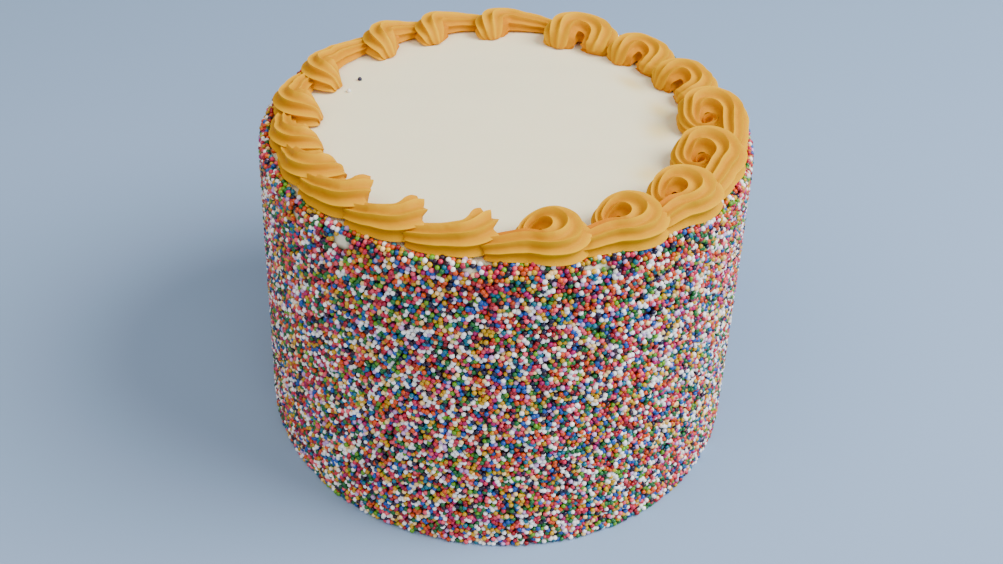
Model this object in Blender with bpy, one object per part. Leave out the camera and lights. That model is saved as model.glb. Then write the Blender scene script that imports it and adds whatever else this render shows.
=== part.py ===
"""Confetti cake: a tall round cake iced in white buttercream, its wall coated with nonpareils and its top
edge bordered with piped yellow swirls. Metres, +Z up, with the origin at the middle of the foot."""

import math
import random
from collections import namedtuple

import bmesh
import bpy
from mathutils import Matrix, Vector

MM = 0.001

# The coated cake. Its wall waves slowly in and out by the foot, as icing smoothed by hand does.
FOOT_RADIUS = 80.0 * MM
RIM_RADIUS = 77.0 * MM
HEIGHT = 103.5 * MM
RIM_ROUNDING = 1.6 * MM
COAT_DEPTH = 0.75 * MM
WALL_WAVE = 0.35 * MM
WIDE_WAVES = 3
NARROW_WAVES = 5
NARROW_WAVE_SHARE = 0.6
WIDE_WAVE_TWIST = 2.1
NARROW_WAVE_TWIST = -1.9
WALL_SEGMENTS = 72
WALL_LEVELS = 5

# The nonpareils that stand out of the coat. Each centre lies out from the coat's mean surface by its rise.
NONPAREIL_DIAMETER = 1.6 * MM
NONPAREIL_COUNT = 144
NONPAREIL_RISE = 0.1 * MM
NONPAREIL_JITTER = 1.2
LOWEST_NONPAREIL = 1.3 * MM
GAP_UNDER_RIM = 1.1 * MM
CLUMP_ANGLE = 197.0
CLUMP_HEIGHT = 22.0 * MM
CLUMP_COUNT = 5
CLUMP_HALF_HEIGHT = 2.4 * MM
CLUMP_HALF_ANGLE = 1.5
CLUMP_RISE = 0.5 * MM
STRAYS = ((151.0, 55.2 * MM), (160.0, 54.4 * MM))
STRAY_RISE = 0.3 * MM
SEED = 18

# The piped border. Each swirl is one stroke of a star tube: a rope that curls round a small open core by way
# of its rear and its outer side, and runs on as a tail under the next swirl. An arch has no tail: its rope
# comes back in. The cutter that makes room for the next swirl grows by more than the clearance, because the
# facets of a rope lie nearer than its corners. The angles are those of the swirls, clockwise as seen from
# above, from the back.
BORDER_RADIUS = 66.5 * MM
CORE_OPENING = 1.1 * MM
CLEARANCE = 0.3 * MM
CUTTER_GROWTH = 0.45 * MM
RIDGES = 7
RIDGE_DEPTH = 0.19
ROPE_FOOT_ANGLE = 35.0
STRAIGHT_ON = 270
TAIL_END_BEFORE_NEXT = 3.0 * MM
SWIRL_ANGLES = (
    *(111, 91, 70, 47, 26, 3, -19.5, -42.5, -60.5),
    *(-80, -99.5, -117, -133, -149.5, -165, -183, -204, -231),
)

# The strokes, in mm. A core lies forward and outward of the swirl's place on the border. A curl's rows are
# the distance run straight on (before the curl it is negative), degrees round the core, distance from the
# core to the rope's middle, half width and height. A tail's rows are the share of its length, how far outward
# its middle lies, half width and height. Teeth are how far the crests reach out at a torn start.
Stroke = namedtuple("Stroke", "core curl tail teeth")
THICK_TAIL = ((0.33, 3.2, 4.8, 8.2), (0.67, 3.1, 4.5, 6.7), (1.00, 2.6, 3.8, 5.0))
SLIM_TAIL = ((0.33, 2.6, 4.2, 6.8), (0.67, 2.5, 3.8, 5.6), (1.00, 2.2, 3.4, 4.6))
ROSETTE = Stroke(
    core=(4.5, 0.0),
    curl=(
        (0.0, 42, 4.1, 3.0, 6.6),
        (0.0, 78, 4.5, 3.6, 8.0),
        (0.0, 112, 5.3, 4.4, 9.6),
        (0.0, 142, 6.5, 5.4, 10.6),
        (0.0, 172, 7.5, 6.3, 10.8),
        (0.0, 200, 7.8, 6.6, 10.4),
        (0.0, 228, 7.0, 6.2, 9.8),
        (0.0, 250, 5.8, 5.3, 9.4),
        (0.0, 270, 4.8, 4.6, 9.0),
    ),
    tail=THICK_TAIL,
    teeth=0.0,
)
OPEN_ROSETTE = Stroke(
    core=(7.0, -3.4),
    curl=(
        (0.0, 14, 3.4, 2.4, 5.2),
        (0.0, 50, 3.9, 2.8, 4.8),
        (0.0, 85, 4.5, 3.4, 6.0),
        (0.0, 115, 5.1, 4.0, 8.0),
        (0.0, 145, 6.7, 5.3, 9.8),
        (0.0, 175, 7.8, 6.3, 10.6),
        (0.0, 205, 8.0, 6.4, 10.4),
        (0.0, 235, 7.5, 5.9, 9.8),
        (0.0, 270, 6.7, 5.0, 9.0),
    ),
    tail=THICK_TAIL,
    teeth=0.0,
)
ARCH = Stroke(
    core=(7.4, -5.6),
    curl=(
        (-4.6, 176, 7.3, 4.8, 1.8),
        (-3.8, 177, 7.4, 5.9, 5.0),
        (-2.0, 180, 7.5, 6.5, 8.0),
        (0.0, 190, 7.6, 6.6, 9.6),
        (0.0, 226, 7.2, 6.1, 10.0),
        (0.0, 262, 6.8, 5.7, 9.4),
        (0.0, 300, 7.1, 6.1, 8.8),
        (0.0, 336, 7.4, 6.2, 7.8),
        (3.0, 346, 7.4, 5.6, 6.0),
        (5.4, 350, 7.4, 4.6, 2.4),
    ),
    tail=(),
    teeth=0.0,
)
ELL = Stroke(
    core=(4.2, -4.3),
    curl=(
        (-1.9, 160, 6.9, 4.6, 1.6),
        (-1.2, 162, 7.0, 6.0, 4.8),
        (-0.1, 168, 7.1, 6.8, 7.4),
        (0.0, 184, 7.2, 7.0, 8.9),
        (0.0, 210, 7.1, 6.6, 9.1),
        (0.0, 240, 6.9, 5.7, 8.8),
        (0.0, 270, 6.8, 4.8, 8.0),
    ),
    tail=SLIM_TAIL,
    teeth=0.0,
)
COMB = Stroke(
    core=(2.0, -6.5),
    curl=(
        (-3.8, 222, 6.0, 6.6, 9.0),
        (-1.6, 222, 6.4, 7.0, 10.0),
        (0.0, 232, 7.0, 6.8, 10.2),
        (0.0, 250, 7.7, 6.4, 9.8),
        (0.0, 270, 8.6, 5.6, 9.2),
    ),
    tail=THICK_TAIL,
    teeth=1.6,
)

# Each swirl's stroke and size, in the order of the angles
STROKES = (
    *(ELL,) * 2,
    *(ARCH,) * 3,
    *(OPEN_ROSETTE,) * 2,
    *(ROSETTE,) * 3,
    *(COMB,) * 3,
    *(ELL,) * 5,
)
SIZES = (
    *(0.96, 0.96, 1.04, 0.94, 0.98, 1.1, 1.1, 1.06, 1.02),
    *(1.0, 0.98, 1.0, 1.02, 1.04, 0.98, 1.06, 1.02, 1.02),
)

# sRGB colours
ICING_COLOUR = "E9E4D8"
PIPING_COLOUR = "F2B632"
COAT_COLOUR = "B99A93"
NONPAREIL_COLOURS = ("F4F1EC", "D8505C", "C8283A", "E88A3C", "EBCB4A", "3C9A5A", "2E78B8", "33305E", "C9509A")

# Edges that turn by more than this many degrees are shaded sharp
CAKE_SHARP_ANGLE = 50.0
SWIRL_SHARP_ANGLE = 30.0


def linear(channel):
    """One sRGB channel, from 0 to 1, as linear light."""
    return channel / 12.92 if channel <= 0.04045 else ((channel + 0.055) / 1.055) ** 2.4


def material(name, colour, roughness, subsurface=0.0):
    made = bpy.data.materials.new(name)
    made.use_nodes = True
    shader = made.node_tree.nodes["Principled BSDF"]
    rgb = [linear(int(colour[i : i + 2], 16) / 255) for i in (0, 2, 4)]
    shader.inputs["Base Color"].default_value = (*rgb, 1.0)
    shader.inputs["Roughness"].default_value = roughness
    shader.inputs["Metallic"].default_value = 0.0
    shader.inputs["Subsurface Weight"].default_value = subsurface
    made.diffuse_color = (*rgb, 1.0)
    return made


def new_object(name, mesh, *materials):
    obj = bpy.data.objects.new(name, mesh)
    for each in materials:
        mesh.materials.append(each)
    bpy.context.scene.collection.objects.link(obj)
    return obj


def apply_boolean(obj, operation, cutter=None, collection=None):
    """Puts the result of an EXACT Boolean in place of the object's mesh."""
    modifier = obj.modifiers.new("Boolean", "BOOLEAN")
    modifier.operation = operation
    modifier.solver = "EXACT"
    if collection:
        modifier.operand_type = "COLLECTION"
        modifier.collection = collection
    else:
        modifier.object = cutter
    graph = bpy.context.evaluated_depsgraph_get()
    before = obj.data
    obj.data = bpy.data.meshes.new_from_object(obj.evaluated_get(graph))
    obj.modifiers.remove(modifier)
    bpy.data.meshes.remove(before)


def keep_largest_island(mesh):
    """Drops the loose scraps that a cut may leave."""
    work = bmesh.new()
    work.from_mesh(mesh)
    left = set(work.verts)
    islands = []
    while left:
        island = set()
        reached = [left.pop()]
        while reached:
            vert = reached.pop()
            island.add(vert)
            for edge in vert.link_edges:
                other = edge.other_vert(vert)
                if other in left:
                    left.remove(other)
                    reached.append(other)
        islands.append(island)
    islands.sort(key=len)
    for island in islands[:-1]:
        bmesh.ops.delete(work, geom=list(island), context="VERTS")
    work.to_mesh(mesh)
    work.free()


def smooth(obj, angle):
    obj.data.shade_smooth()
    obj.data.set_sharp_from_angle(angle=math.radians(angle))


# The cake


def wall_radius(height, angle):
    """Radius of the coat's mean surface, with the slow unevenness of an icing wall smoothed by hand."""
    share = height / HEIGHT
    radius = FOOT_RADIUS + (RIM_RADIUS - FOOT_RADIUS) * share - COAT_DEPTH
    wide = math.sin(WIDE_WAVES * angle + WIDE_WAVE_TWIST * share)
    narrow = NARROW_WAVE_SHARE * math.sin(NARROW_WAVES * angle + NARROW_WAVE_TWIST * share)
    return radius + WALL_WAVE * (wide + narrow) * (1 - share)


def cake_core(coat, icing):
    """The iced cake without its separate nonpareils: an uneven wall, a rounded rim and a flat top."""
    work = bmesh.new()
    wall_height = HEIGHT - RIM_ROUNDING
    rings = []
    for level in range(WALL_LEVELS + 1):
        rings.append((0.0, wall_height * level / WALL_LEVELS))
    for turn in (45, 90):
        inset = RIM_ROUNDING * (1 - math.cos(math.radians(turn)))
        rise = RIM_ROUNDING * math.sin(math.radians(turn))
        rings.append((inset, wall_height + rise))
    loops = []
    for inset, height in rings:
        loop = []
        for segment in range(WALL_SEGMENTS):
            angle = 2 * math.pi * segment / WALL_SEGMENTS
            radius = wall_radius(min(height, wall_height), angle) - inset
            loop.append(work.verts.new((radius * math.cos(angle), radius * math.sin(angle), height)))
        loops.append(loop)
    for low, high in zip(loops, loops[1:]):
        for segment in range(WALL_SEGMENTS):
            after = (segment + 1) % WALL_SEGMENTS
            work.faces.new((low[segment], low[after], high[after], high[segment]))
    work.faces.new(reversed(loops[0]))
    work.faces.new(loops[-1]).material_index = 1
    mesh = bpy.data.meshes.new("iced_cake")
    work.to_mesh(mesh)
    work.free()
    return new_object("iced_cake", mesh, coat, icing)


def nonpareil_places(rng):
    """Centres spread evenly over the wall by the golden angle, then the clump low on one side and the strays
    on the top."""
    golden = math.pi * (3 - math.sqrt(5))
    highest = HEIGHT - RIM_ROUNDING - GAP_UNDER_RIM
    spots = []
    for k in range(NONPAREIL_COUNT):
        height = LOWEST_NONPAREIL + (highest - LOWEST_NONPAREIL) * (k + 0.5) / NONPAREIL_COUNT
        jitter = math.radians(rng.uniform(-NONPAREIL_JITTER, NONPAREIL_JITTER))
        spots.append((height, golden * k + jitter, NONPAREIL_RISE))
    for k in range(CLUMP_COUNT):
        height = CLUMP_HEIGHT + rng.uniform(-CLUMP_HALF_HEIGHT, CLUMP_HALF_HEIGHT)
        angle = math.radians(CLUMP_ANGLE + rng.uniform(-CLUMP_HALF_ANGLE, CLUMP_HALF_ANGLE))
        spots.append((height, angle, CLUMP_RISE))
    places = []
    for height, angle, rise in spots:
        radius = wall_radius(height, angle) + rise
        places.append(Vector((radius * math.cos(angle), radius * math.sin(angle), height)))
    for degrees, radius in STRAYS:
        angle = math.radians(degrees)
        places.append(Vector((radius * math.cos(angle), radius * math.sin(angle), HEIGHT + STRAY_RISE)))
    return places


def nonpareil(name, place, colour, rng):
    work = bmesh.new()
    bmesh.ops.create_icosphere(work, subdivisions=1, radius=NONPAREIL_DIAMETER / 2)
    spin = Matrix.Rotation(rng.uniform(0, math.tau), 4, "Z")
    tip = Matrix.Rotation(rng.uniform(0, math.pi), 4, "X")
    bmesh.ops.transform(work, matrix=spin @ tip, verts=work.verts)
    mesh = bpy.data.meshes.new(name)
    work.to_mesh(mesh)
    work.free()
    obj = new_object(name, mesh, colour)
    obj.location = place
    return obj


def iced_cake():
    rng = random.Random(SEED)
    icing = material("white_buttercream", ICING_COLOUR, 0.5, 0.15)
    coat = material("nonpareil_coat", COAT_COLOUR, 0.45)
    colours = []
    for number, colour in enumerate(NONPAREIL_COLOURS):
        colours.append(material(f"nonpareil_{number + 1}", colour, 0.35))
    cake = cake_core(coat, icing)
    group = bpy.data.collections.new("nonpareils")
    for number, place in enumerate(nonpareil_places(rng)):
        ball = nonpareil(f"ball_{number}", place, rng.choice(colours), rng)
        bpy.context.scene.collection.objects.unlink(ball)
        group.objects.link(ball)
    bpy.context.scene.collection.children.link(group)
    bpy.context.view_layer.update()
    apply_boolean(cake, "UNION", collection=group)
    for ball in list(group.objects):
        bpy.data.objects.remove(ball)
    bpy.data.collections.remove(group)
    keep_largest_island(cake.data)
    smooth(cake, CAKE_SHARP_ANGLE)


# The piped border


def pitch_after(number):
    """Distance along the border from this swirl to the next."""
    here = SWIRL_ANGLES[number]
    following = SWIRL_ANGLES[(number + 1) % len(SWIRL_ANGLES)]
    return math.radians((here - following) % 360) * BORDER_RADIUS


def rope_section(middle, half_width, height, grow):
    """The rope's ridged outline in its own upright plane, as (distance from the core, height) pairs that run
    from the outer foot over the top to the inner foot."""
    foot = math.radians(ROPE_FOOT_ANGLE)
    rise = height / (1 + math.sin(foot))
    outline = []
    for k in range(2 * RIDGES + 1):
        angle = -foot + (math.pi + 2 * foot) * k / (2 * RIDGES)
        on_ridge = 1.0 if k % 2 else 1 - RIDGE_DEPTH
        across = (half_width * on_ridge + grow) * math.cos(angle)
        up = rise * math.sin(foot) + (rise * on_ridge + grow) * math.sin(angle)
        if k in (0, 2 * RIDGES):
            up = -grow
        outline.append((max(middle + across, CORE_OPENING - grow), up))
    return outline


def stroke_rows(number):
    """The rows of a swirl's stroke from its start to the tail's end, in metres."""
    stroke = STROKES[number]
    size = SIZES[number] * MM
    core_forward, core_outward = stroke.core
    tail_length = pitch_after(number) - TAIL_END_BEFORE_NEXT - core_forward * size
    rows = []
    for along, turn, middle, half_width, height in stroke.curl:
        rows.append((along * size, turn, middle * size, half_width * size, height * size))
    for share, out, half_width, height in stroke.tail:
        middle = (out - core_outward) * size
        rows.append((tail_length * share, STRAIGHT_ON, middle, half_width * size, height * size))
    return rows


def swirl_sections(number, grow):
    """The sections along the rope as rows of (forward, outward, up). grow swells them and both ends."""
    stroke = STROKES[number]
    size = SIZES[number] * MM
    rows = stroke_rows(number)
    sections = []
    for row_number, (along, turn, middle, half_width, height) in enumerate(rows):
        ahead = math.sin(math.radians(turn))
        aside = math.cos(math.radians(turn))
        section = []
        for k, (across, up) in enumerate(rope_section(middle, half_width, height, grow)):
            run = along
            if row_number == 0:
                run -= grow + (stroke.teeth * size if k % 2 else 0.0)
            if row_number == len(rows) - 1:
                run += grow
            forward = stroke.core[0] * size + across * aside - run * ahead
            outward = stroke.core[1] * size - across * ahead - run * aside
            section.append((forward, outward, up))
        sections.append(section)
    return sections


def on_border(number, forward, outward, up):
    """A place on the cake, for one in the swirl's own forward, outward and up directions."""
    angle = math.radians(SWIRL_ANGLES[number]) - forward / BORDER_RADIUS
    radius = BORDER_RADIUS + outward
    return radius * math.cos(angle), radius * math.sin(angle), HEIGHT + CLEARANCE + up


def swirl_mesh(name, number, grow=0.0):
    """The closed rope of one swirl. grow swells its sections by that much, and both ends."""
    work = bmesh.new()
    loops = []
    for row in swirl_sections(number, grow):
        loops.append([work.verts.new(on_border(number, *point)) for point in row])
    for before, after in zip(loops, loops[1:]):
        for k in range(len(before)):
            following = (k + 1) % len(before)
            work.faces.new((before[k], before[following], after[following], after[k]))
    work.faces.new(reversed(loops[0]))
    work.faces.new(loops[-1])
    bmesh.ops.recalc_face_normals(work, faces=work.faces)
    bmesh.ops.triangulate(work, faces=work.faces)
    mesh = bpy.data.meshes.new(name)
    work.to_mesh(mesh)
    work.free()
    return mesh


def swirls():
    """The ring of swirls, each one's end cut short where the next swirl lies over it."""
    piping = material("yellow_buttercream", PIPING_COLOUR, 0.45, 0.1)
    count = len(SWIRL_ANGLES)
    for number in range(count):
        name = f"swirl_{number + 1:02d}"
        swirl = new_object(name, swirl_mesh(name, number), piping)
        following = (number + 1) % count
        cutter = new_object("cutter", swirl_mesh("cutter", following, CUTTER_GROWTH))
        cutter.hide_render = True
        cutter.display_type = "WIRE"
        apply_boolean(swirl, "DIFFERENCE", cutter=cutter)
        bpy.data.objects.remove(cutter)
        keep_largest_island(swirl.data)
        smooth(swirl, SWIRL_SHARP_ANGLE)


def main():
    for obj in list(bpy.data.objects):
        bpy.data.objects.remove(obj)
    iced_cake()
    swirls()


main()
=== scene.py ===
"""The looks of a confetti cake: white buttercream, a coat of many-coloured nonpareils and a border of piped
yellow swirls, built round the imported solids. Metres, +Z up, with the origin at the middle of the foot."""

import math
from collections import namedtuple

import bmesh
import bpy
import numpy as np
from bpy.props import FloatProperty, FloatVectorProperty, IntProperty, PointerProperty
from mathutils import Matrix, Vector, noise


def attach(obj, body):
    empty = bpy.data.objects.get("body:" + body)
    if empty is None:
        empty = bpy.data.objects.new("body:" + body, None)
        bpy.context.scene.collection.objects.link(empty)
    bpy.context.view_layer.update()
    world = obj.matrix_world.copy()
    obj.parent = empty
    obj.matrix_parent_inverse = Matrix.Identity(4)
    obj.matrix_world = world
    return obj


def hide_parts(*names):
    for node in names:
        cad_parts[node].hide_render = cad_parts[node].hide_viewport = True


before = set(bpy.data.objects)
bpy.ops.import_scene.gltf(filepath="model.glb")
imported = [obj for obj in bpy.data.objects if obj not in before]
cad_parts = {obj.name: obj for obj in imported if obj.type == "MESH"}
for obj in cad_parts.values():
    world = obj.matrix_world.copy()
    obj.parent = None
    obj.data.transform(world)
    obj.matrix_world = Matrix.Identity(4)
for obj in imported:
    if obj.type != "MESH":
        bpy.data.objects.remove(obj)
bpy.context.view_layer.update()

bl_info = {
    "name": "Confetti Cake",
    "version": (1, 0, 0),
    "blender": (4, 5, 0),
    "location": "3D View > Sidebar > Cake",
    "description": "Makes an iced cake with a coat of nonpareils and a piped border",
    "category": "Add Mesh",
}

MM = 0.001
BODY = "root"
CAKE_NODE = "iced_cake"
SWIRL_NODES = sorted(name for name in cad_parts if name.startswith("swirl_"))

# The photograph's frame in pixels, and the camera that fits it: where it stands, how far it looks down, how
# far it leans, and how far its picture is shifted
IMAGE_WIDTH = 1003
CAMERA_PLACE = Vector((-11.0, -314.6, 287.2)) * MM
CAMERA_DOWN = math.radians(33.229)
CAMERA_LEAN = math.radians(-0.965)
FOCAL_PIXELS = 1153.0
SHIFT_PIXELS = (-32.0, -100.0)

# The cores of the swirls, in degrees from +X, in the order of piping: clockwise as seen from above
SWIRL_ANGLES = (
    *(111, 91, 70, 47, 26, 3, -19.5, -42.5, -60.5),
    *(-80, -99.5, -117, -133, -149.5, -165, -183, -204, -231),
)

# The strokes, in mm. A core lies forward and outward of the swirl's place on the border. A curl's rows are
# the distance run straight on (before the curl it is negative), degrees round the core, distance from the
# core to the rope's middle, half width and height. A tail's rows are the share of its length, how far outward
# its middle lies, half width and height. Teeth are how far the crests reach out at a torn start. The heart is
# the tight first turn that a closed curl starts with.
Stroke = namedtuple("Stroke", "core curl tail teeth")
THICK_TAIL = ((0.33, 3.2, 4.8, 8.2), (0.67, 3.1, 4.5, 6.7), (1.00, 2.6, 3.8, 5.0))
SLIM_TAIL = ((0.33, 2.6, 4.2, 6.8), (0.67, 2.5, 3.8, 5.6), (1.00, 2.2, 3.4, 4.6))
HEART = (
    (0.0, -290, 1.2, 1.0, 4.2),
    (0.0, -210, 1.6, 1.3, 5.4),
    (0.0, -130, 2.1, 1.6, 6.0),
    (0.0, -60, 2.7, 2.0, 6.0),
)
ROSETTE = Stroke(
    core=(4.5, 0.0),
    curl=(
        *HEART,
        (0.0, 6, 3.5, 2.6, 6.0),
        (0.0, 42, 4.1, 3.0, 6.6),
        (0.0, 78, 4.5, 3.6, 8.0),
        (0.0, 112, 5.3, 4.4, 9.6),
        (0.0, 142, 6.5, 5.4, 10.6),
        (0.0, 172, 7.5, 6.3, 10.8),
        (0.0, 200, 7.8, 6.6, 10.4),
        (0.0, 228, 7.0, 6.2, 9.8),
        (0.0, 250, 5.8, 5.3, 9.4),
        (0.0, 270, 4.8, 4.6, 9.0),
    ),
    tail=THICK_TAIL,
    teeth=0.0,
)
OPEN_ROSETTE = Stroke(
    core=(7.0, -3.4),
    curl=(
        *HEART,
        (0.0, 14, 3.4, 2.4, 5.2),
        (0.0, 50, 3.9, 2.8, 4.8),
        (0.0, 85, 4.5, 3.4, 6.0),
        (0.0, 115, 5.1, 4.0, 8.0),
        (0.0, 145, 6.7, 5.3, 9.8),
        (0.0, 175, 7.8, 6.3, 10.6),
        (0.0, 205, 8.0, 6.4, 10.4),
        (0.0, 235, 7.5, 5.9, 9.8),
        (0.0, 252, 7.1, 5.4, 9.4),
        (0.0, 270, 6.7, 5.0, 9.0),
    ),
    tail=THICK_TAIL,
    teeth=0.0,
)
ARCH = Stroke(
    core=(7.4, -5.6),
    curl=(
        (-5.0, 176, 7.3, 4.2, 0.8),
        (-4.6, 176, 7.3, 5.4, 2.2),
        (-3.8, 177, 7.4, 6.3, 5.0),
        (-2.0, 180, 7.5, 6.6, 8.0),
        (0.0, 190, 7.6, 6.6, 9.6),
        (0.0, 226, 7.2, 6.1, 10.0),
        (0.0, 262, 6.8, 5.7, 9.4),
        (0.0, 300, 7.1, 6.1, 8.8),
        (0.0, 336, 7.4, 6.2, 7.8),
        (3.0, 346, 7.3, 6.2, 6.0),
        (5.4, 350, 7.2, 5.4, 2.4),
        (5.8, 350, 7.2, 4.2, 0.8),
    ),
    tail=(),
    teeth=0.0,
)
ELL = Stroke(
    core=(4.2, -4.3),
    curl=(
        (-2.3, 163, 7.0, 4.0, 0.8),
        (-1.9, 163, 7.0, 5.0, 2.2),
        (-1.2, 165, 7.0, 6.1, 4.8),
        (-0.1, 170, 7.1, 6.8, 7.4),
        (0.0, 184, 7.2, 7.0, 8.9),
        (0.0, 210, 7.1, 6.6, 9.1),
        (0.0, 240, 6.9, 5.7, 8.8),
        (0.0, 270, 6.8, 4.8, 8.0),
    ),
    tail=SLIM_TAIL,
    teeth=0.0,
)
COMB = Stroke(
    core=(2.0, -6.5),
    curl=(
        (-3.8, 222, 6.0, 6.6, 9.0),
        (-1.6, 222, 6.4, 7.0, 10.0),
        (0.0, 232, 7.0, 6.8, 10.2),
        (0.0, 250, 7.7, 6.4, 9.8),
        (0.0, 270, 8.6, 5.6, 9.2),
    ),
    tail=THICK_TAIL,
    teeth=1.7,
)

# Each swirl's stroke and size, in the order of piping
STROKES = (
    *(ELL,) * 2,
    *(ARCH,) * 3,
    *(OPEN_ROSETTE,) * 2,
    *(ROSETTE,) * 3,
    *(COMB,) * 3,
    *(ELL,) * 5,
)
SIZES = (
    *(0.96, 0.96, 1.04, 0.94, 0.98, 1.1, 1.1, 1.06, 1.02),
    *(1.0, 0.98, 1.0, 1.02, 1.04, 0.98, 1.06, 1.02, 1.02),
)

# The kinds of nonpareil: name, sRGB colour and share of the coat
NONPAREILS = (
    ("white", "FFFFFF", 0.19),
    ("ivory", "FFD890", 0.05),
    ("lavender", "C9A0DC", 0.03),
    ("pink", "F2566C", 0.06),
    ("coral", "C41C48", 0.05),
    ("red", "9C0A1E", 0.07),
    ("orange", "D24A00", 0.09),
    ("yellow", "CC9E00", 0.09),
    ("lime", "629C14", 0.04),
    ("green", "14682E", 0.09),
    ("teal", "0A6E86", 0.05),
    ("blue", "1450A8", 0.07),
    ("navy", "160F38", 0.06),
    ("plum", "2A0A26", 0.03),
    ("magenta", "AA0464", 0.03),
)


# Sizes and colours that a user may change


def linear(colour):
    """An sRGB hex colour as linear red, green and blue."""
    channels = [int(colour[i : i + 2], 16) / 255 for i in (0, 2, 4)]
    return tuple(c / 12.92 if c <= 0.04045 else ((c + 0.055) / 1.055) ** 2.4 for c in channels)


class IcingSettings(bpy.types.PropertyGroup):
    foot_radius: FloatProperty(
        name="Foot radius", description="Radius over the coat at the foot", default=80 * MM, unit="LENGTH"
    )
    rim_radius: FloatProperty(
        name="Rim radius", description="Radius over the coat at the rim", default=77 * MM, unit="LENGTH"
    )
    height: FloatProperty(
        name="Height", description="Height of the icing's flat top", default=103.5 * MM, unit="LENGTH"
    )
    rim_rounding: FloatProperty(
        name="Rim rounding", description="Radius of the icing's top edge", default=1.6 * MM, unit="LENGTH"
    )
    coat_depth: FloatProperty(
        name="Coat depth", description="Depth of the coat over the icing", default=1.35 * MM, unit="LENGTH"
    )
    colour: FloatVectorProperty(
        name="Icing", description="Colour of the white buttercream", default=linear("F2EDCD"), subtype="COLOR"
    )
    # The buried coat's colour is dark for painted shade in the gaps between the nonpareils
    buried_coat_shade: FloatVectorProperty(
        name="Buried coat", description="Shade deep in the coat", default=linear("9A7A72"), subtype="COLOR"
    )


class NonpareilSettings(bpy.types.PropertyGroup):
    diameter: FloatProperty(
        name="Diameter", description="Usual width of a nonpareil", default=1.6 * MM, unit="LENGTH"
    )
    spacing: FloatProperty(
        name="Spacing", description="Usual distance between two middles", default=1.4 * MM, unit="LENGTH"
    )
    spread: FloatProperty(
        name="Size spread", description="Largest change of size as a share", default=0.09, subtype="FACTOR"
    )
    jitter: FloatProperty(
        name="Jitter", description="How far a nonpareil is shaken aside", default=0.34 * MM, unit="LENGTH"
    )
    unevenness: FloatProperty(
        name="Unevenness", description="How far a nonpareil lies in or out", default=0.35 * MM, unit="LENGTH"
    )
    seed: IntProperty(name="Seed", description="Start of the random draws", default=7)


class PipingSettings(bpy.types.PropertyGroup):
    border_radius: FloatProperty(
        name="Border radius", description="Radius of the ring of swirls", default=66.5 * MM, unit="LENGTH"
    )
    ridges: IntProperty(name="Ridges", description="Ridges that the tube leaves on the rope", default=7)
    ridge_depth: FloatProperty(
        name="Ridge depth", description="Depth of a groove as a share", default=0.25, subtype="FACTOR"
    )
    # The crests' lighter colour is a painted highlight, the grooves' darker colour painted shade
    crest_highlight_colour: FloatVectorProperty(
        name="Crests", description="Colour along the thin crests", default=linear("DAA400"), subtype="COLOR"
    )
    groove_shade_colour: FloatVectorProperty(
        name="Grooves", description="Colour in the grooves", default=linear("C08200"), subtype="COLOR"
    )
    # Colour of the painted shade down by the core and at the foot
    core_shade_colour: FloatVectorProperty(
        name="Core", description="Colour down by the core", default=linear("C06800"), subtype="COLOR"
    )


# Helpers


def add_node(tree, kind, inputs=None, **settings):
    """Adds a node. inputs gives its sockets a value, or another node's output to link from."""
    made = tree.nodes.new(kind)
    for name, value in settings.items():
        setattr(made, name, value)
    for key, value in (inputs or {}).items():
        if isinstance(value, bpy.types.NodeSocket):
            tree.links.new(value, made.inputs[key])
        else:
            made.inputs[key].default_value = value
    return made


def new_material(name):
    """An empty Principled material, as its node tree and shader."""
    made = bpy.data.materials.new(name)
    made.use_nodes = True
    return made, made.node_tree, made.node_tree.nodes["Principled BSDF"]


def new_object(name, mesh):
    obj = bpy.data.objects.new(name, mesh)
    bpy.context.scene.collection.objects.link(obj)
    return obj


def finish_piece(obj, slot, *replaced):
    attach(obj, BODY)
    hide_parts(*replaced)


# How far apart the noise of two seeds is read
SEED_STEP = Vector((17.3, 5.1, 9.7))


def wave(point, size, seed):
    """Smooth noise from -1 to 1, with features of the given size in metres."""
    return noise.noise(point / size + seed * SEED_STEP)


# Materials

# The yellow that tints the icing's top by the border
TOP_TINT_COLOUR = "E3C24A"

# The widths of the materials' patterns. Both grains are drawn coarser than the real ones, so that they show.
KNIFE_STROKE = 30 * MM
BURIED_NONPAREIL = 1.5 * MM
BUTTERCREAM_GRAIN = 2.5 * MM
PIPING_MOTTLE = 4 * MM
DRAG_GRAIN = 0.7 * MM
CARD_MOTTLE = 200 * MM


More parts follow.
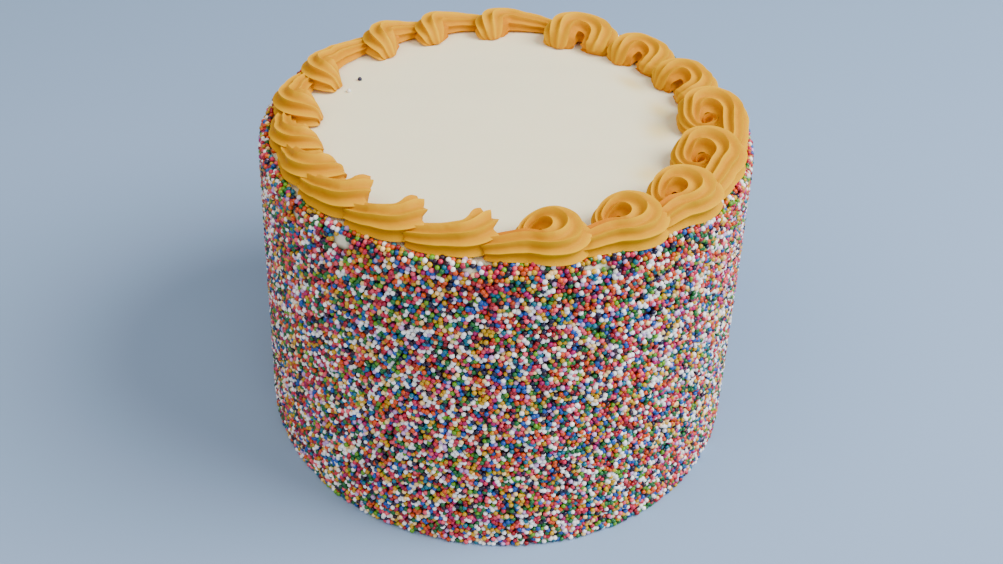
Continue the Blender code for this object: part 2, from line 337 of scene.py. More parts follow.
def white_buttercream(colour, buried_coat_shade):
    """Buttercream smoothed with a warm knife: pale ivory and satin, with faint strokes. Under the coat it
    shows the colours of the nonpareils that are buried in it, darkened by painted shade that is darkest
    between them, and by the border on the right its top is tinted a little yellow."""
    made, tree, shader = new_material("white_buttercream")
    where = add_node(tree, "ShaderNodeTexCoord")
    coated = add_node(tree, "ShaderNodeAttribute", attribute_name="coated")
    top_tint = add_node(tree, "ShaderNodeAttribute", attribute_name="top_tint")
    strokes = add_node(
        tree, "ShaderNodeMapping", {"Vector": where.outputs["Object"], "Scale": (1, 3, 1)}
    )
    tint = add_node(
        tree, "ShaderNodeTexNoise", {"Vector": strokes.outputs[0], "Scale": 1 / KNIFE_STROKE, "Detail": 3.0}
    )
    ramp = add_node(
        tree, "ShaderNodeMapRange", {"Value": tint.outputs["Fac"], "To Min": 0.96, "To Max": 1.03}
    )
    shade = add_node(
        tree,
        "ShaderNodeMix",
        {"Factor": 1.0, "A": (*colour, 1.0), "B": ramp.outputs[0]},
        data_type="RGBA",
        blend_type="MULTIPLY",
    )
    top_tinted = add_node(
        tree,
        "ShaderNodeMix",
        {"Factor": top_tint.outputs["Fac"], "A": shade.outputs["Result"], "B": (*linear(TOP_TINT_COLOUR), 1.0)},
        data_type="RGBA",
    )
    # Under the coat: the colours of buried nonpareils times a dark colour, as painted shade between the
    # nonpareils
    cells = add_node(
        tree, "ShaderNodeTexVoronoi", {"Vector": where.outputs["Object"], "Scale": 1 / BURIED_NONPAREIL}
    )
    # Painted shade: each cell is darkened towards its edge, where the gaps between the nonpareils lie
    reach = {"From Min": 0.15, "From Max": 0.6, "To Min": 1.0, "To Max": 0.03}
    depth = add_node(tree, "ShaderNodeMapRange", {"Value": cells.outputs["Distance"], **reach})
    vivid_gap_shaded = add_node(
        tree,
        "ShaderNodeHueSaturation",
        {"Color": cells.outputs["Color"], "Saturation": 1.6, "Value": depth.outputs[0]},
    )
    buried = add_node(
        tree,
        "ShaderNodeMix",
        {"Factor": 1.0, "A": (*buried_coat_shade, 1.0), "B": vivid_gap_shaded.outputs[0]},
        data_type="RGBA",
        blend_type="MULTIPLY",
    )
    under = add_node(
        tree,
        "ShaderNodeMix",
        {"Factor": coated.outputs["Fac"], "A": top_tinted.outputs["Result"], "B": buried.outputs["Result"]},
        data_type="RGBA",
    )
    tree.links.new(under.outputs["Result"], shader.inputs["Base Color"])
    grain = {"Scale": 1 / BUTTERCREAM_GRAIN, "Detail": 4.0}
    fine = add_node(tree, "ShaderNodeTexNoise", {"Vector": where.outputs["Object"], **grain})
    bump = add_node(
        tree, "ShaderNodeBump", {"Height": fine.outputs["Fac"], "Strength": 0.12, "Distance": 0.3 * MM}
    )
    tree.links.new(bump.outputs[0], shader.inputs["Normal"])
    shader.inputs["Roughness"].default_value = 0.5
    shader.inputs["Subsurface Weight"].default_value = 0.15
    shader.inputs["Subsurface Scale"].default_value = 2 * MM
    return made


def yellow_buttercream(crest_highlight_colour, groove_shade_colour, core_shade_colour):
    """Buttercream pressed through a star tube: egg yellow, paler along the thin crests as a painted
    highlight, darker gold in the grooves and deep orange down by the core and at the foot as painted shade,
    with a fine drag grain."""
    made, tree, shader = new_material("yellow_buttercream")
    where = add_node(tree, "ShaderNodeTexCoord")
    crest = add_node(tree, "ShaderNodeAttribute", attribute_name="crest")
    deep = add_node(tree, "ShaderNodeAttribute", attribute_name="deep")
    patches = {"Scale": 1 / PIPING_MOTTLE, "Detail": 3.0}
    mottle = add_node(tree, "ShaderNodeTexNoise", {"Vector": where.outputs["Object"], **patches})
    share = add_node(
        tree,
        "ShaderNodeMath",
        {0: mottle.outputs["Fac"], 1: 0.35, 2: crest.outputs["Fac"]},
        operation="MULTIPLY_ADD",
    )
    level = add_node(
        tree, "ShaderNodeMapRange", {"Value": share.outputs[0], "From Min": 0.12, "From Max": 1.15}
    )
    # Painted light: lighter on the crests as a highlight, darker in the grooves as shade, with random mottle
    ridged = add_node(
        tree,
        "ShaderNodeMix",
        {"Factor": level.outputs[0], "A": (*groove_shade_colour, 1.0), "B": (*crest_highlight_colour, 1.0)},
        data_type="RGBA",
    )
    # Painted shade: deep orange towards the core and the foot
    down = add_node(tree, "ShaderNodeMath", {0: deep.outputs["Fac"], 1: 0.8}, operation="MULTIPLY")
    shade = add_node(
        tree,
        "ShaderNodeMix",
        {"Factor": down.outputs[0], "A": ridged.outputs["Result"], "B": (*core_shade_colour, 1.0)},
        data_type="RGBA",
    )
    tree.links.new(shade.outputs["Result"], shader.inputs["Base Color"])
    grain = {"Scale": 1 / DRAG_GRAIN, "Detail": 3.0}
    fine = add_node(tree, "ShaderNodeTexNoise", {"Vector": where.outputs["Object"], **grain})
    bump = add_node(
        tree, "ShaderNodeBump", {"Height": fine.outputs["Fac"], "Strength": 0.15, "Distance": 0.15 * MM}
    )
    tree.links.new(bump.outputs[0], shader.inputs["Normal"])
    shader.inputs["Roughness"].default_value = 0.48
    shader.inputs["Specular IOR Level"].default_value = 0.04
    shader.inputs["Subsurface Weight"].default_value = 0.05
    shader.inputs["Subsurface Scale"].default_value = 1.5 * MM
    return made


def sugar_shell(name, colour):
    """A nonpareil's panned sugar shell: evenly coloured, softly glossy, each a little lighter or darker."""
    made, tree, shader = new_material(f"sugar_shell_{name}")
    tone = add_node(tree, "ShaderNodeAttribute", attribute_name="tone")
    ramp = add_node(
        tree, "ShaderNodeMapRange", {"Value": tone.outputs["Fac"], "To Min": 0.72, "To Max": 1.12}
    )
    shade = add_node(
        tree,
        "ShaderNodeMix",
        {"Factor": 1.0, "A": (*colour, 1.0), "B": ramp.outputs[0]},
        data_type="RGBA",
        blend_type="MULTIPLY",
    )
    tree.links.new(shade.outputs["Result"], shader.inputs["Base Color"])
    shader.inputs["Roughness"].default_value = 0.32
    return made


def matt_card(name, colour):
    """Matt painted card, for the floor."""
    made, tree, shader = new_material(name)
    where = add_node(tree, "ShaderNodeTexCoord")
    patches = {"Scale": 1 / CARD_MOTTLE, "Detail": 2.0}
    mottle = add_node(tree, "ShaderNodeTexNoise", {"Vector": where.outputs["Object"], **patches})
    ramp = add_node(
        tree, "ShaderNodeMapRange", {"Value": mottle.outputs["Fac"], "To Min": 0.98, "To Max": 1.02}
    )
    shade = add_node(
        tree,
        "ShaderNodeMix",
        {"Factor": 1.0, "A": (*linear(colour), 1.0), "B": ramp.outputs[0]},
        data_type="RGBA",
        blend_type="MULTIPLY",
    )
    tree.links.new(shade.outputs["Result"], shader.inputs["Base Color"])
    shader.inputs["Roughness"].default_value = 0.9
    return made


# The iced body

# How finely it is divided: round it, up the wall, in degrees round the rim, and across the foot and the top
ICING_SEGMENTS = 180
WALL_LEVELS = 50
RIM_TURNS = (15, 30, 45, 60, 75)
FOOT_SHARES = (0.3, 0.7, 0.99)
TOP_RINGS = 40
ICING_SHARP_ANGLE = 60

# The knife's waves in the top: depth and width in mm, and seed
TOP_WAVES = ((0.18, 35, 0), (0.05, 9, 1))

WALL_WAVE = 0.35 * MM
WIDE_WAVES = 3
NARROW_WAVES = 5
NARROW_WAVE_SHARE = 0.6
WIDE_WAVE_TWIST = 2.1
NARROW_WAVE_TWIST = -1.9


def wall_radius(icing, height, angle):
    """Outside radius of the coat, with the slow unevenness of an icing wall smoothed by hand."""
    share = height / icing.height
    radius = icing.foot_radius + (icing.rim_radius - icing.foot_radius) * share
    wide = math.sin(WIDE_WAVES * angle + WIDE_WAVE_TWIST * share)
    narrow = NARROW_WAVE_SHARE * math.sin(NARROW_WAVES * angle + NARROW_WAVE_TWIST * share)
    return radius + WALL_WAVE * (wide + narrow) * (1 - share)


# Bare places in the coat: degrees from +X, depth below the top, half width and half height, in mm. Each is
# wholly bare within this share of its size.
BARE_PLACES = ((233, 2.5, 4.5, 2.4), (288, 1.2, 4.0, 0.9), (262, 1.2, 3.0, 0.9), (218, 4.0, 2.5, 2.0))
BARE_WITHIN = 0.7

# Soft yellow tints on the top by the border: degrees from +X, distance from the axis, and half width and
# depth, in mm
TOP_TINTS = ((-4, 48.0, 6.0, 4.5), (-34, 51.0, 5.0, 4.5), (33, 51.0, 6.0, 3.0), (11, 51.0, 6.0, 3.5))
TOP_TINT_STRENGTH = 0.5


def coat_cover(icing, height, angle):
    """How fully the coat covers the icing at a place on the wall, from 0 to 1."""
    nearest = math.inf
    for degrees, depth, half_width, half_height in BARE_PLACES:
        aside = (math.degrees(angle) - degrees + 180) % 360 - 180
        across = math.radians(aside) * icing.rim_radius / (half_width * MM)
        down = (icing.height - height - depth * MM) / (half_height * MM)
        nearest = min(nearest, math.hypot(across, down))
    return min(max((nearest - BARE_WITHIN) / (1 - BARE_WITHIN), 0.0), 1.0)


def top_tint_at(place):
    """How yellow the icing's top is at a place, from 0 to 1."""
    strongest = 0.0
    for degrees, radius, half_width, depth in TOP_TINTS:
        aside = (math.degrees(math.atan2(place.y, place.x)) - degrees + 180) % 360 - 180
        across = math.radians(aside) * radius / half_width
        inward = (place.xy.length / MM - radius) / depth
        strongest = max(strongest, math.exp(-across * across - inward * inward))
    return TOP_TINT_STRENGTH * strongest


def icing_mesh(icing):
    """The icing under the coat and its smooth top, as rings from the foot's middle to the top's."""
    rounding = icing.rim_rounding
    wall_height = icing.height - rounding
    profile = [("flat", share, 0.0) for share in FOOT_SHARES]
    profile += [("wall", 0.0, wall_height * level / WALL_LEVELS) for level in range(WALL_LEVELS + 1)]
    for turn in RIM_TURNS:
        inset = rounding * (1 - math.cos(math.radians(turn)))
        profile.append(("wall", inset, wall_height + rounding * math.sin(math.radians(turn))))
    profile += [("flat", 1 - ring / TOP_RINGS, icing.height) for ring in range(1, TOP_RINGS)]
    rings = []
    for kind, value, height in profile:
        ring = []
        for segment in range(ICING_SEGMENTS):
            angle = 2 * math.pi * segment / ICING_SEGMENTS
            outside = wall_radius(icing, min(height, wall_height), angle) - icing.coat_depth
            radius = outside - value if kind == "wall" else (outside - rounding) * value
            place = Vector((radius * math.cos(angle), radius * math.sin(angle), height))
            if height == icing.height:
                place.z += sum(rise * MM * wave(place, width * MM, seed) for rise, width, seed in TOP_WAVES)
            ring.append(place)
        rings.append(ring)
    work = bmesh.new()
    coated_layer = work.verts.layers.float.new("coated")
    top_tint_layer = work.verts.layers.float.new("top_tint")
    loops = []
    for (kind, value, height), ring in zip(profile, rings):
        loop = []
        for segment, place in enumerate(ring):
            vert = work.verts.new(place)
            if kind == "wall":
                vert[coated_layer] = coat_cover(icing, height, 2 * math.pi * segment / ICING_SEGMENTS)
            elif height > 0:
                vert[top_tint_layer] = top_tint_at(place)
            loop.append(vert)
        loops.append(loop)
    bottom = work.verts.new((0, 0, 0))
    top = work.verts.new((0, 0, icing.height))
    for segment in range(ICING_SEGMENTS):
        after = (segment + 1) % ICING_SEGMENTS
        work.faces.new((bottom, loops[0][after], loops[0][segment]))
        work.faces.new((top, loops[-1][segment], loops[-1][after]))
        for low, high in zip(loops, loops[1:]):
            work.faces.new((low[segment], low[after], high[after], high[segment]))
    mesh = bpy.data.meshes.new("icing")
    work.to_mesh(mesh)
    work.free()
    mesh.shade_smooth()
    mesh.set_sharp_from_angle(angle=math.radians(ICING_SHARP_ANGLE))
    return mesh


class CAKE_OT_icing(bpy.types.Operator):
    """Makes the iced body, which replaces the cake's solid"""

    bl_idname = "cake.icing"
    bl_label = "Icing"

    def execute(self, context):
        icing = context.scene.cake_icing
        obj = new_object("icing", icing_mesh(icing))
        obj.data.materials.append(white_buttercream(icing.colour, icing.buried_coat_shade))
        finish_piece(obj, "white_buttercream", CAKE_NODE)
        return {"FINISHED"}


# The coat of nonpareils

# The coat's width on the top, the height of a row of packed balls as a share of their spacing, and the share
# of the nonpareils that is missing
LEDGE_WIDTH = 1.2 * MM
ROW_SPACING = 0.866
LEFT_OUT = 0.04

# A ball's corners lie this much further out, because its flat faces lie further in
BALL_FULLNESS = 1.03

# Just under the border the warm kinds lie thicker
WARM_BAND = 9 * MM
WARM_KINDS = ("coral", "red", "orange", "yellow")
WARM_GAIN = 1.9

# Nonpareils laid one by one: kind, degrees from +X, distance from the axis and height of the middle, in mm
LOOSE = (
    ("navy", 151, 55.2, 104.0),
    ("white", 160, 54.4, 104.0),
    ("navy", 5, 67.6, 111.0),
)

# The clump low on the left: degrees from +X, height, half width, half height and rise in mm
CLUMP_COUNT = 14
CLUMP_PLACE = (197, 22.0, 1.8, 2.4, 0.5)


def coat_rows(icing, balls):
    """The rows of nonpareils up the wall, over the rim and a little way in on the top. For each: its inset
    from the wall's outside, its height, how far its surface leans back and the share of it that is covered.
    """
    middle = balls.diameter / 2
    shoulder = icing.rim_rounding + icing.coat_depth - middle
    shoulder_height = icing.height - icing.rim_rounding
    wall = shoulder_height - middle
    bend = shoulder * math.pi / 2
    rows = []
    for run in np.arange(0, wall + bend + LEDGE_WIDTH, balls.spacing * ROW_SPACING):
        lean = min(max((run - wall) / shoulder, 0.0), math.pi / 2)
        inward = max(run - wall - bend, 0.0)
        inset = middle + shoulder * (1 - math.cos(lean)) + inward
        height = min(middle + run, shoulder_height) + shoulder * math.sin(lean)
        rows.append((inset, height, lean, 1 - inward / LEDGE_WIDTH))
    return rows


def coat_places(icing, balls, rng):
    """The middles of the nonpareils with their kinds. They lie in rows like packed balls, shaken out of line,
    with some left out."""
    shares = np.array([share for name, colour, share in NONPAREILS])
    warm = np.array([WARM_GAIN if name in WARM_KINDS else 1.0 for name, colour, share in NONPAREILS])
    lowest = balls.diameter / 2 * BALL_FULLNESS * (1 + balls.spread)
    places = []
    for row, (inset, height, lean, cover) in enumerate(coat_rows(icing, balls)):
        count = round(math.tau * (wall_radius(icing, min(height, icing.height), 0) - inset) / balls.spacing)
        weights = shares * (warm if height > icing.height - WARM_BAND else 1.0)
        kinds = rng.choice(len(NONPAREILS), count, p=weights / weights.sum())
        shaken = rng.uniform(-1, 1, (count, 3))
        chances = rng.random(count)
        for k in range(count):
            aside, along, out = shaken[k] * (balls.jitter, balls.jitter, balls.unevenness)
            angle = (k + row % 2 / 2) * math.tau / count + aside / icing.rim_radius
            if chances[k] > cover * coat_cover(icing, height, angle) * (1 - LEFT_OUT):
                continue
            radius = wall_radius(icing, min(height, icing.height), angle) - inset
            radius += out * math.cos(lean) - along * math.sin(lean)
            up = max(height + out * math.sin(lean) + along * math.cos(lean), lowest)
            places.append((kinds[k], angle, radius, up))
    return places


def laid_places(icing, balls, rng):
    """The nonpareils laid one by one and those of the clump, as the coat's are given."""
    names = [name for name, colour, share in NONPAREILS]
    places = []
    for name, degrees, radius, height in LOOSE:
        places.append((names.index(name), math.radians(degrees), radius * MM, height * MM))
    degrees, middle, half_width, half_height, rise = CLUMP_PLACE
    for number in range(CLUMP_COUNT):
        aside, along = rng.uniform(-1, 1, 2)
        height = (middle + along * half_height) * MM
        angle = math.radians(degrees) + aside * half_width * MM / icing.foot_radius
        radius = wall_radius(icing, height, angle) - balls.diameter / 2 + rise * MM
        places.append((rng.integers(len(names)), angle, radius, height))
    return places


def coat_mesh(icing, balls):
    """A vertex for the middle of each nonpareil, with the number of its kind."""
    rng = np.random.default_rng(balls.seed)
    places = coat_places(icing, balls, rng) + laid_places(icing, balls, rng)
    mesh = bpy.data.meshes.new("coat")
    mesh.from_pydata([(r * math.cos(a), r * math.sin(a), z) for kind, a, r, z in places], [], [])
    kinds = [int(place[0]) for place in places]
    mesh.attributes.new("kind", "INT", "POINT").data.foreach_set("value", kinds)
    return mesh


def ball_mesh(diameter):
    """A ball of 32 triangles: an octahedron, each of its faces split in four."""
    work = bmesh.new()
    poles = [work.verts.new(place) for place in ((1, 0, 0), (0, 1, 0), (-1, 0, 0), (0, -1, 0))]
    top = work.verts.new((0, 0, 1))
    bottom = work.verts.new((0, 0, -1))
    for here, after in zip(poles, poles[1:] + poles[:1]):
        work.faces.new((here, after, top))
        work.faces.new((after, here, bottom))
    bmesh.ops.subdivide_edges(work, edges=work.edges, cuts=1, use_grid_fill=True)
    for vert in work.verts:
        vert.co = vert.co.normalized() * diameter / 2 * BALL_FULLNESS
    mesh = bpy.data.meshes.new("ball")
    work.to_mesh(mesh)
    work.free()
    return mesh


def scatter_tree():
    """Puts a ball at each of the coat's vertices of one kind and gives the balls that kind's material."""
    tree = bpy.data.node_groups.new("nonpareil_scatter", "GeometryNodeTree")
    sockets = (
        ("Coat", "NodeSocketGeometry"),
        ("Ball", "NodeSocketObject"),
        ("Size Spread", "NodeSocketFloat"),
        ("Kind", "NodeSocketInt"),
        ("Seed", "NodeSocketInt"),
        ("Material", "NodeSocketMaterial"),
    )
    for name, kind in sockets:
        tree.interface.new_socket(name, in_out="INPUT", socket_type=kind)
    tree.interface.new_socket("Nonpareils", in_out="OUTPUT", socket_type="NodeSocketGeometry")
    given = add_node(tree, "NodeGroupInput").outputs

    kind = add_node(tree, "GeometryNodeInputNamedAttribute", {"Name": "kind"}, data_type="INT")
    wanted = add_node(
        tree,
        "FunctionNodeCompare",
        {2: kind.outputs["Attribute"], 3: given["Kind"]},
        data_type="INT",
        operation="EQUAL",
    )
    points = add_node(
        tree, "GeometryNodeMeshToPoints", {"Mesh": given["Coat"], "Selection": wanted.outputs[0]}
    )
    turn = add_node(tree, "FunctionNodeRandomValue", {"Seed": given["Seed"]}, data_type="FLOAT_VECTOR")
    turn.inputs["Max"].default_value = (math.tau, math.tau, math.tau)
    size_seed = add_node(tree, "FunctionNodeIntegerMath", {0: given["Seed"], 1: 1})
    size = add_node(tree, "FunctionNodeRandomValue", {"Seed": size_seed.outputs[0]}, data_type="FLOAT")
    size.inputs["Min"].default_value = -1.0
    scale = add_node(
        tree,
        "ShaderNodeMath",
        {0: size.outputs["Value"], 1: given["Size Spread"], 2: 1.0},
        operation="MULTIPLY_ADD",
    )
    ball = add_node(tree, "GeometryNodeObjectInfo", {"Object": given["Ball"]})
    copies = add_node(
        tree,
        "GeometryNodeInstanceOnPoints",
        {
            "Points": points.outputs[0],
            "Instance": ball.outputs["Geometry"],
            "Rotation": turn.outputs["Value"],
            "Scale": scale.outputs[0],
        },
    )
    tone_seed = add_node(tree, "FunctionNodeIntegerMath", {0: given["Seed"], 1: 2})
    tone = add_node(tree, "FunctionNodeRandomValue", {"Seed": tone_seed.outputs[0]}, data_type="FLOAT")
    toned = add_node(
        tree,
        "GeometryNodeStoreNamedAttribute",
        {"Geometry": copies.outputs[0], "Name": "tone", "Value": tone.outputs["Value"]},
        data_type="FLOAT",
        domain="INSTANCE",
    )
    real = add_node(tree, "GeometryNodeRealizeInstances", {"Geometry": toned.outputs[0]})
    smooth = add_node(tree, "GeometryNodeSetShadeSmooth", {"Geometry": real.outputs[0]})
    coloured = add_node(
        tree, "GeometryNodeSetMaterial", {"Geometry": smooth.outputs[0], "Material": given["Material"]}
    )
    add_node(tree, "NodeGroupOutput", {"Nonpareils": coloured.outputs[0]})
    return tree


class CAKE_OT_nonpareils(bpy.types.Operator):
    """Makes the coat of nonpareils, one piece for each colour"""

    bl_idname = "cake.nonpareils"
    bl_label = "Nonpareils"

    def execute(self, context):
        balls = context.scene.cake_nonpareils
        icing = context.scene.cake_icing
        ball = new_object("ball", ball_mesh(balls.diameter))
        tree = scatter_tree()
        identifiers = {item.name: item.identifier for item in tree.interface.items_tree}
        carrier = new_object("coat", coat_mesh(icing, balls))
        for kind, (name, colour, share) in enumerate(NONPAREILS):
            modifier = carrier.modifiers.new("Scatter", "NODES")
            modifier.node_group = tree
            values = {
                "Ball": ball,
                "Size Spread": balls.spread,
                "Kind": kind,
                "Seed": balls.seed + kind,
                "Material": sugar_shell(name, linear(colour)),
            }
            for socket, value in values.items():
                modifier[identifiers[socket]] = value
            carrier.update_tag()
            graph = context.evaluated_depsgraph_get()
            mesh = bpy.data.meshes.new_from_object(carrier.evaluated_get(graph))
            carrier.modifiers.remove(modifier)
            if not mesh.polygons:
                raise RuntimeError(f"no nonpareils were made for {name}")
            finish_piece(new_object(f"nonpareils_{name}", mesh), "nonpareils", CAKE_NODE)
        bpy.data.objects.remove(carrier)
        bpy.data.objects.remove(ball)
        return {"FINISHED"}


# The piped border, in mm unless it says otherwise

# How wide the core stays open: at most this, and this share of the distance from it to the rope's middle
CORE_OPENING = 0.7
CORE_OPENING_SHARE = 0.2

# How far round the rope's section goes below its middle, and how far it is sunk in the icing
ROPE_FOOT_ANGLE = math.radians(35)
ROPE_SINK = 0.2

# The turn, in degrees round the core, at which the rope runs on along the border, and where its tail ends
STRAIGHT_ON = 270
TAIL_END_BEFORE_NEXT = 3.0

# Over this length at each end the rope's sides draw in, by this share of its half width, and the teeth of a
# torn start reach out, each by its own share
END_LENGTH = 4.0
END_ROUNDING = 0.5
TOOTH_SHARES = (0.3, 1.0)

# How far from the core and how high above the foot the painted shade of the deep colour reaches, and its
# strength at the foot
CORE_SHADE_REACH = 3.0
FOOT_SHADE_HEIGHT = 1.6
FOOT_SHADE = 0.5

# The buttercream's unevenness: depth and width
SWELLS = ((0.28, 6.0), (0.07, 1.6))
SWELL_SEED = 2

# How finely the rope is divided, across each ridge and along it, and the degrees at which edges are sharp
SAMPLES_A_RIDGE = 8
ROPE_STEP = 0.45
PIPING_SHARP_ANGLE = 70


def pitch_after(piping, number):
    """Distance in mm along the border from this swirl to the next."""
    here = SWIRL_ANGLES[number]
    following = SWIRL_ANGLES[(number + 1) % len(SWIRL_ANGLES)]
    return math.radians((here - following) % 360) * piping.border_radius / MM


def smooth_between(places, rows, wanted):
    """Rows at the wanted places, on a smooth curve through the given rows."""
    slopes = np.gradient(rows, places, axis=0)
    i = np.clip(np.searchsorted(places, wanted) - 1, 0, len(places) - 2)
    gap = (places[i + 1] - places[i])[:, None]
    t = (wanted - places[i])[:, None] / gap
    near = (2 * t**3 - 3 * t**2 + 1) * rows[i] + (t**3 - 2 * t**2 + t) * gap * slopes[i]
    return near + (3 * t**2 - 2 * t**3) * rows[i + 1] + (t**3 - t**2) * gap * slopes[i + 1]


def stroke_rows(piping, number):
    """Distances in mm along one swirl's rope, close together, and the stroke's row at each."""
    size = SIZES[number]
    stroke = STROKES[number]
    core_forward, core_outward = stroke.core
    tail_length = pitch_after(piping, number) - TAIL_END_BEFORE_NEXT - core_forward * size
    rows = [(along * size, turn, *(size * x for x in rest)) for along, turn, *rest in stroke.curl]
    rows += [
        (share * tail_length, STRAIGHT_ON, (out - core_outward) * size, half_width * size, height * size)
        for share, out, half_width, height in stroke.tail
    ]
    rows = np.array(rows)
    turns = np.radians(rows[:, 1])
    middles = np.stack(
        [
            rows[:, 2] * np.cos(turns) - rows[:, 0] * np.sin(turns),
            -rows[:, 2] * np.sin(turns) - rows[:, 0] * np.cos(turns),
        ],
        axis=1,
    )
    gaps = np.linalg.norm(np.diff(middles, axis=0), axis=1)
    places = np.concatenate([[0], np.cumsum(gaps)])
    wanted = np.arange(0, places[-1], ROPE_STEP)
    return wanted, smooth_between(places, rows, wanted)


def swirl_mesh(piping, number):
    """The ridged rope of one swirl as a closed mesh. Each vertex says how near it is to a crest, and how
    strongly it is painted with shade, near the core and low by the foot."""
    distances, rows = stroke_rows(piping, number)
    size = SIZES[number]
    core_forward, core_outward = STROKES[number].core
    count = piping.ridges * SAMPLES_A_RIDGE
    u = np.linspace(0, 1, count + 1)
    from_crest = np.abs((u * piping.ridges) % 1 - 0.5) * 2
    dip = np.sin(np.pi / 2 * from_crest)
    angle = -ROPE_FOOT_ANGLE + (np.pi + 2 * ROPE_FOOT_ANGLE) * u
    tooth_shares = np.random.default_rng(number).uniform(*TOOTH_SHARES, piping.ridges)
    ridge = np.minimum((u * piping.ridges).astype(int), piping.ridges - 1)
    tooth = STROKES[number].teeth * (1 - from_crest) * tooth_shares[ridge]
    rounding = END_ROUNDING * np.cos(angle) ** 2
    top = bpy.context.scene.cake_icing.height - ROPE_SINK * MM
    base = math.radians(SWIRL_ANGLES[number])
    work = bmesh.new()
    crest_layer = work.verts.layers.float.new("crest")
    core_shade_layer = work.verts.layers.float.new("deep")
    loops = []
    for distance, (along, turn, middle, half_width, height) in zip(distances, rows):
        turn = math.radians(turn)
        rise = height / (1 + math.sin(ROPE_FOOT_ANGLE))
        factor = 1 - piping.ridge_depth * dip
        across = half_width * factor * np.cos(angle) + middle
        up = rise * math.sin(ROPE_FOOT_ANGLE) + rise * factor * np.sin(angle)
        up[0] = up[-1] = 0.0
        across = np.maximum(across, min(CORE_OPENING, middle * CORE_OPENING_SHARE))
        at_start = max(1 - distance / END_LENGTH, 0) ** 2
        at_end = max(1 - (distances[-1] - distance) / END_LENGTH, 0) ** 2
        run = along - tooth * at_start + rounding * half_width * (at_start - at_end)
        forward = core_forward * size + across * math.cos(turn) - run * math.sin(turn)
        outward = core_outward * size - across * math.sin(turn) - run * math.cos(turn)
        # Painted shade: strongest near the core and low by the foot
        deep = np.exp(-((across / CORE_SHADE_REACH) ** 2)) + FOOT_SHADE * np.exp(-((up / FOOT_SHADE_HEIGHT) ** 2))
        loop = []
        for k in range(count + 1):
            here = base - forward[k] * MM / piping.border_radius
            radius = piping.border_radius + outward[k] * MM
            place = Vector((radius * math.cos(here), radius * math.sin(here), top + up[k] * MM))
            if 0 < k < count:
                swell = sum(depth * MM * wave(place, width * MM, SWELL_SEED) for depth, width in SWELLS)
                place += swell * Vector((math.cos(here), math.sin(here), 1))
            vert = work.verts.new(place)
            vert[crest_layer] = 1 - dip[k]
            vert[core_shade_layer] = min(deep[k], 1.0)
            loop.append(vert)
        loops.append(loop)
    for before, after in zip(loops, loops[1:]):
        for k in range(count + 1):
            following = (k + 1) % (count + 1)
            work.faces.new((before[k], before[following], after[following], after[k]))
    work.faces.new(reversed(loops[0]))
    work.faces.new(loops[-1])
    bmesh.ops.recalc_face_normals(work, faces=work.faces)
    bmesh.ops.triangulate(work, faces=work.faces)
    mesh = bpy.data.meshes.new(f"piped_{number + 1:02d}")
    work.to_mesh(mesh)
    work.free()
    mesh.shade_smooth()
    mesh.set_sharp_from_angle(angle=math.radians(PIPING_SHARP_ANGLE))
    return mesh


class CAKE_OT_swirls(bpy.types.Operator):
    """Makes the piped border, one piece for each swirl, in place of the swirls' solids"""

    bl_idname = "cake.swirls"
    bl_label = "Swirls"

    def execute(self, context):
        piping = context.scene.cake_piping
        if len(SWIRL_NODES) != len(SWIRL_ANGLES):
            raise RuntimeError("the frame doesn't have a node for each swirl")
        material = yellow_buttercream(piping.crest_highlight_colour, piping.groove_shade_colour, piping.core_shade_colour)
        for number, node in enumerate(SWIRL_NODES):
            piece = new_object(f"piped_{node}", swirl_mesh(piping, number))
            piece.data.materials.append(material)
            finish_piece(piece, "yellow_buttercream", node)
        return {"FINISHED"}


# The stage, in metres and watts

FLOOR_COLOUR = "86A2C6"
FLOOR_SIZE = 6.0
FLOOR_CELLS = 8
ROOM_COLOUR = "DDE6F0"
ROOM_STRENGTH = 0.55
SENSOR_WIDTH = 36

# The lights: name, place, width, power and colour. They aim at the middle of the cake.
LIGHT_AIM = (0, 0, 0.06)
LIGHTS = (
    ("window", (0.9, -0.15, 1.0), 0.9, 31, "FFFCF6"),
    ("fill", (-0.55, -0.4, 1.2), 1.0, 9, "FFE4C4"),
    ("front", (0.4, -1.1, 0.6), 0.8, 5, "FFFFFF"),
)


def make_camera():
    """The photograph's camera. Its picture is shifted, because the photograph is a part of a larger one."""
    forward = Vector((0, math.cos(CAMERA_DOWN), -math.sin(CAMERA_DOWN)))
    right = Vector((1, 0, 0))
    down = forward.cross(right)
    lean_right = math.cos(CAMERA_LEAN) * right + math.sin(CAMERA_LEAN) * down
    lean_down = math.cos(CAMERA_LEAN) * down - math.sin(CAMERA_LEAN) * right
    data = bpy.data.cameras.new("camera")
    data.sensor_width = SENSOR_WIDTH
    data.lens = FOCAL_PIXELS / IMAGE_WIDTH * data.sensor_width
    data.shift_x = -SHIFT_PIXELS[0] / IMAGE_WIDTH
    data.shift_y = SHIFT_PIXELS[1] / IMAGE_WIDTH
    data.clip_start = 10 * MM
    data.clip_end = 20
    camera = new_object("camera", data)
    turned = Matrix((lean_right, -lean_down, -forward)).transposed().to_4x4()
    camera.matrix_world = Matrix.Translation(CAMERA_PLACE) @ turned
    bpy.context.scene.camera = camera


def area_light(name, place, size, power, colour):
    data = bpy.data.lights.new(name, "AREA")
    data.shape = "DISK"
    data.size = size
    data.energy = power
    data.color = linear(colour)
    light = new_object(name, data)
    turn = (Vector(LIGHT_AIM) - Vector(place)).to_track_quat("-Z", "Y")
    light.matrix_world = Matrix.Translation(place) @ turn.to_matrix().to_4x4()


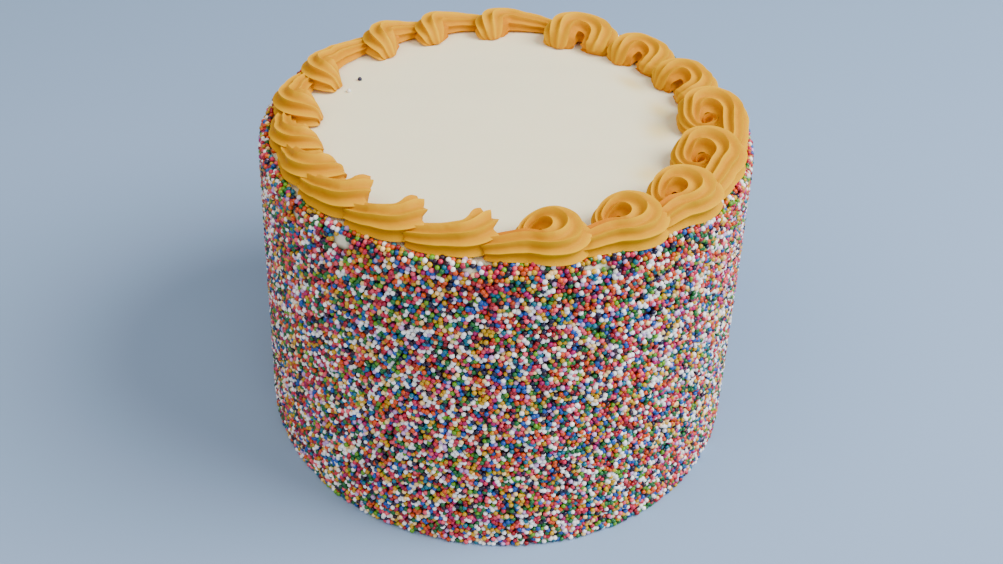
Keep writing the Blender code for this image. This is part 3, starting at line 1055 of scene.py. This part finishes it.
class CAKE_OT_stage(bpy.types.Operator):
    """Makes the floor, the lights and the camera"""

    bl_idname = "cake.stage"
    bl_label = "Stage"

    def execute(self, context):
        bpy.ops.mesh.primitive_grid_add(
            x_subdivisions=FLOOR_CELLS, y_subdivisions=FLOOR_CELLS, size=FLOOR_SIZE
        )
        floor = context.object
        floor.name = "floor"
        floor.data.materials.append(matt_card("floor_card", FLOOR_COLOUR))
        for light in LIGHTS:
            area_light(*light)
        world = context.scene.world or bpy.data.worlds.new("room")
        context.scene.world = world
        world.use_nodes = True
        back = world.node_tree.nodes["Background"]
        back.inputs["Color"].default_value = (*linear(ROOM_COLOUR), 1.0)
        back.inputs["Strength"].default_value = ROOM_STRENGTH
        make_camera()
        return {"FINISHED"}


# The panel and the start


class CAKE_PT_panel(bpy.types.Panel):
    """Lists the cake's sizes and the pieces that it is made of"""

    bl_idname = "CAKE_PT_panel"
    bl_label = "Confetti Cake"
    bl_space_type = "VIEW_3D"
    bl_region_type = "UI"
    bl_category = "Cake"

    def draw(self, context):
        for settings in (context.scene.cake_icing, context.scene.cake_nonpareils, context.scene.cake_piping):
            box = self.layout.box()
            for name in settings.__annotations__:
                box.prop(settings, name)
        for operator in OPERATORS:
            self.layout.operator(operator.bl_idname)


OPERATORS = (CAKE_OT_icing, CAKE_OT_nonpareils, CAKE_OT_swirls, CAKE_OT_stage)
CLASSES = (IcingSettings, NonpareilSettings, PipingSettings, *OPERATORS, CAKE_PT_panel)


def register():
    for each in CLASSES:
        bpy.utils.register_class(each)
    bpy.types.Scene.cake_icing = PointerProperty(type=IcingSettings)
    bpy.types.Scene.cake_nonpareils = PointerProperty(type=NonpareilSettings)
    bpy.types.Scene.cake_piping = PointerProperty(type=PipingSettings)


def unregister():
    del bpy.types.Scene.cake_piping
    del bpy.types.Scene.cake_nonpareils
    del bpy.types.Scene.cake_icing
    for each in reversed(CLASSES):
        bpy.utils.unregister_class(each)


def main():
    register()
    bpy.ops.cake.stage()
    bpy.ops.cake.icing()
    bpy.ops.cake.nonpareils()
    bpy.ops.cake.swirls()


if __name__ == "__main__":
    main()
